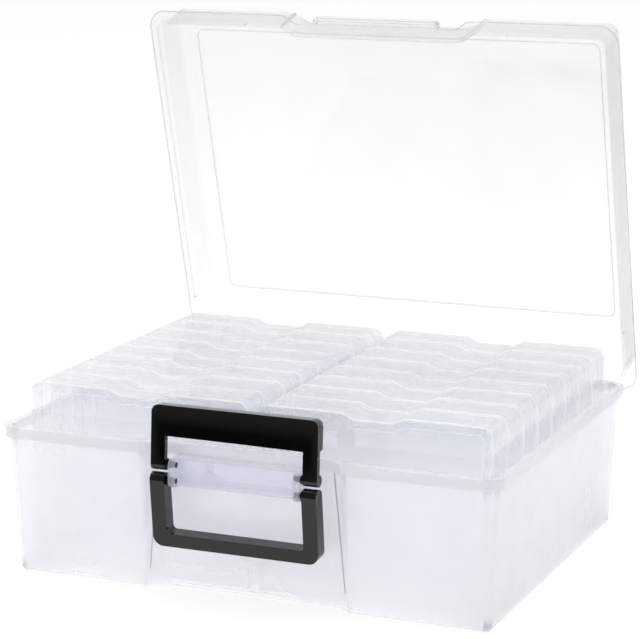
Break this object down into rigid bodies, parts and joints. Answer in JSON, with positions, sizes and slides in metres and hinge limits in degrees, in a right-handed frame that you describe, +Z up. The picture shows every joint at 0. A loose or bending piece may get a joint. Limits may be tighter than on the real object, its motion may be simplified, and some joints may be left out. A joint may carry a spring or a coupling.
{
  "type": "photo keeper case",
  "caption": "Clear plastic carrying case with a hinged lid, a black latch and handle at the front, and flat inner cases in two columns that hold photo prints.",
  "frame": {"origin": "middle of the tub's flat base", "axes": "+Z up, -Y is the front with the latch and the handle, +X to the right seen from the front"},
  "size_m": [0.3764, 0.3588, 0.3803],
  "materials": {
    "clear_tub": "clear polypropylene, slightly cloudy",
    "clear_lid": "clear polypropylene",
    "clear_case": "clear polypropylene, slightly cloudy",
    "black_plastic": "glossy black moulding"
  },
  "bodies": {
    "base": {"base_tub": "clear_tub"},
    "lid": {"lid": "clear_lid"},
    "latch": {"latch_handle": "black_plastic"},
    "handle": {"carry_handle": "black_plastic"},
    "case_left_1": {"case_cover_left_1": "clear_case", "case_tray_left_1": "clear_case"},
    "case_right_1": {"case_cover_right_1": "clear_case", "case_tray_right_1": "clear_case"},
    "case_left_2": {"case_cover_left_2": "clear_case", "case_tray_left_2": "clear_case"},
    "case_right_2": {"case_cover_right_2": "clear_case", "case_tray_right_2": "clear_case"},
    "case_left_3": {"case_cover_left_3": "clear_case", "case_tray_left_3": "clear_case"},
    "case_right_3": {"case_cover_right_3": "clear_case", "case_tray_right_3": "clear_case"},
    "case_left_4": {"case_cover_left_4": "clear_case", "case_tray_left_4": "clear_case"},
    "case_right_4": {"case_cover_right_4": "clear_case", "case_tray_right_4": "clear_case"},
    "case_left_5": {"case_cover_left_5": "clear_case", "case_tray_left_5": "clear_case"},
    "case_right_5": {"case_cover_right_5": "clear_case", "case_tray_right_5": "clear_case"},
    "case_left_6": {"case_cover_left_6": "clear_case", "case_tray_left_6": "clear_case"},
    "case_right_6": {"case_cover_right_6": "clear_case", "case_tray_right_6": "clear_case"},
    "case_left_7": {"case_cover_left_7": "clear_case", "case_tray_left_7": "clear_case"},
    "case_right_7": {"case_cover_right_7": "clear_case", "case_tray_right_7": "clear_case"},
    "case_left_8": {"case_cover_left_8": "clear_case", "case_tray_left_8": "clear_case"},
    "case_right_8": {"case_cover_right_8": "clear_case", "case_tray_right_8": "clear_case"}
  },
  "joints": [
    {"name": "lid_hinge", "type": "hinge", "parent": "base", "child": "lid", "pos_m": [0, 0.1511, 0.0849], "axis": [-1, 0, 0], "range_deg": [-75.4, 19.6]},
    {"name": "latch_pivot", "type": "hinge", "parent": "base", "child": "latch", "pos_m": [0, -0.1518, 0.0954], "axis": [1, 0, 0], "range_deg": [-7, 90]},
    {"name": "handle_pivot", "type": "hinge", "parent": "base", "child": "handle", "pos_m": [0, -0.1526, 0.0842], "axis": [-1, 0, 0], "range_deg": [-10, 90]},
    {"name": "case_left_1_lift", "type": "slide", "parent": "base", "child": "case_left_1", "axis": [0, 0, 1], "range_m": [0, 0.14]},
    {"name": "case_right_1_lift", "type": "slide", "parent": "base", "child": "case_right_1", "axis": [0, 0, 1], "range_m": [0, 0.14]},
    {"name": "case_left_2_lift", "type": "slide", "parent": "base", "child": "case_left_2", "axis": [0, 0, 1], "range_m": [0, 0.14]},
    {"name": "case_right_2_lift", "type": "slide", "parent": "base", "child": "case_right_2", "axis": [0, 0, 1], "range_m": [0, 0.14]},
    {"name": "case_left_3_lift", "type": "slide", "parent": "base", "child": "case_left_3", "axis": [0, 0, 1], "range_m": [0, 0.14]},
    {"name": "case_right_3_lift", "type": "slide", "parent": "base", "child": "case_right_3", "axis": [0, 0, 1], "range_m": [0, 0.14]},
    {"name": "case_left_4_lift", "type": "slide", "parent": "base", "child": "case_left_4", "axis": [0, 0, 1], "range_m": [0, 0.14]},
    {"name": "case_right_4_lift", "type": "slide", "parent": "base", "child": "case_right_4", "axis": [0, 0, 1], "range_m": [0, 0.14]},
    {"name": "case_left_5_lift", "type": "slide", "parent": "base", "child": "case_left_5", "axis": [0, 0, 1], "range_m": [0, 0.14]},
    {"name": "case_right_5_lift", "type": "slide", "parent": "base", "child": "case_right_5", "axis": [0, 0, 1], "range_m": [0, 0.14]},
    {"name": "case_left_6_lift", "type": "slide", "parent": "base", "child": "case_left_6", "axis": [0, 0, 1], "range_m": [0, 0.14]},
    {"name": "case_right_6_lift", "type": "slide", "parent": "base", "child": "case_right_6", "axis": [0, 0, 1], "range_m": [0, 0.14]},
    {"name": "case_left_7_lift", "type": "slide", "parent": "base", "child": "case_left_7", "axis": [0, 0, 1], "range_m": [0, 0.14]},
    {"name": "case_right_7_lift", "type": "slide", "parent": "base", "child": "case_right_7", "axis": [0, 0, 1], "range_m": [0, 0.14]},
    {"name": "case_left_8_lift", "type": "slide", "parent": "base", "child": "case_left_8", "axis": [0, 0, 1], "range_m": [0, 0.14]},
    {"name": "case_right_8_lift", "type": "slide", "parent": "base", "child": "case_right_8", "axis": [0, 0, 1], "range_m": [0, 0.14]}
  ]
}
